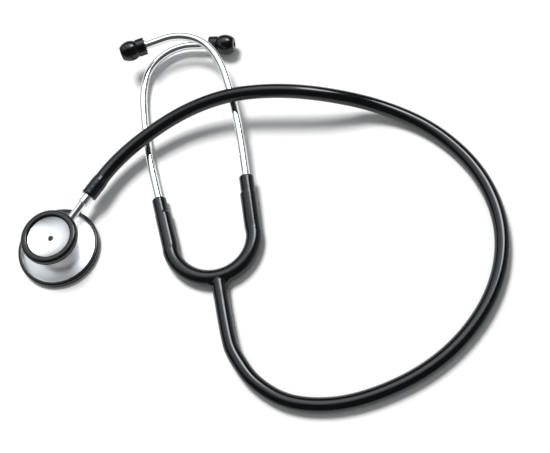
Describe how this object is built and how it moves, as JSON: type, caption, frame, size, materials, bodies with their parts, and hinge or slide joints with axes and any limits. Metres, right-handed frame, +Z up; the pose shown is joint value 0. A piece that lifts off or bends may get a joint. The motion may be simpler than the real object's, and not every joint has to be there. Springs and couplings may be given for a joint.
{
  "type": "stethoscope",
  "caption": "Dual head stethoscope lying on a table: bell and diaphragm on a turning stem, flexible tubing, sprung Y yoke and two bent metal tubes with ear tips.",
  "frame": {"origin": "centre of the diaphragm side's rim face, where the chestpiece rests on the table", "axes": "+Z up from the table, +Y from the yoke towards the ear tips, +X from the chestpiece towards the tubing's loop"},
  "size_m": [0.2856, 0.2564, 0.0293],
  "materials": {
    "zinc_casting": "polished",
    "chromed_tube": "polished",
    "black_pvc": "glossy",
    "black_rim": "glossy",
    "ear_tip_plastic": "glossy",
    "diaphragm_sheet": "satin",
    "spring_steel": "satin",
    "hard_steel": "polished",
    "plated_brass": "nickel plated"
  },
  "bodies": {
    "tubing": {"yoke_junction": "black_pvc", "left_yoke_bend": "black_pvc", "right_yoke_bend": "black_pvc", "yoke_leaf_spring": "spring_steel", "main_tube": "black_pvc", "tube_chest_end": "black_pvc", "stem_spindle": "chromed_tube"},
    "head": {"chestpiece_body": "zinc_casting", "bell_rim": "black_rim", "diaphragm": "diaphragm_sheet", "diaphragm_rim": "black_rim", "detent_ball": "hard_steel", "detent_spring": "spring_steel", "detent_screw": "hard_steel"},
    "left_arm": {"left_yoke_arm": "black_pvc"},
    "right_arm": {"right_yoke_arm": "black_pvc"},
    "left_binaural": {"left_binaural_tube": "chromed_tube", "left_tip_nipple": "plated_brass", "left_ear_tip": "ear_tip_plastic"},
    "right_binaural": {"right_binaural_tube": "chromed_tube", "right_tip_nipple": "plated_brass", "right_ear_tip": "ear_tip_plastic"}
  },
  "joints": [
    {"name": "head_swivel", "type": "hinge", "parent": "tubing", "child": "head", "pos_m": [0, 0, 0.0116], "axis": [0.6896, 0.7242, 0], "continuous": true},
    {"name": "left_arm_spread", "type": "hinge", "parent": "tubing", "child": "left_arm", "pos_m": [0.06836, -0.02312, 0.0048], "axis": [0, 0, 1], "range_deg": [0, 18], "stiffness_Nm_per_rad": 0.35, "deforming": ["left_yoke_bend", "yoke_leaf_spring"]},
    {"name": "right_arm_spread", "type": "hinge", "parent": "tubing", "child": "right_arm", "pos_m": [0.11704, -0.02312, 0.0048], "axis": [0, 0, -1], "range_deg": [0, 30], "stiffness_Nm_per_rad": 0.35, "deforming": ["right_yoke_bend", "yoke_leaf_spring"]},
    {"name": "left_binaural_turn", "type": "hinge", "parent": "left_arm", "child": "left_binaural", "pos_m": [0.06759, -0.01867, 0.0048], "axis": [-0.0819, 0.9966, -0.0087], "range_deg": [0, 30]},
    {"name": "right_binaural_turn", "type": "hinge", "parent": "right_arm", "child": "right_binaural", "pos_m": [0.11787, -0.01779, 0.0048], "axis": [0.0469, 0.9945, 0.0941], "range_deg": [0, 30]}
  ]
}
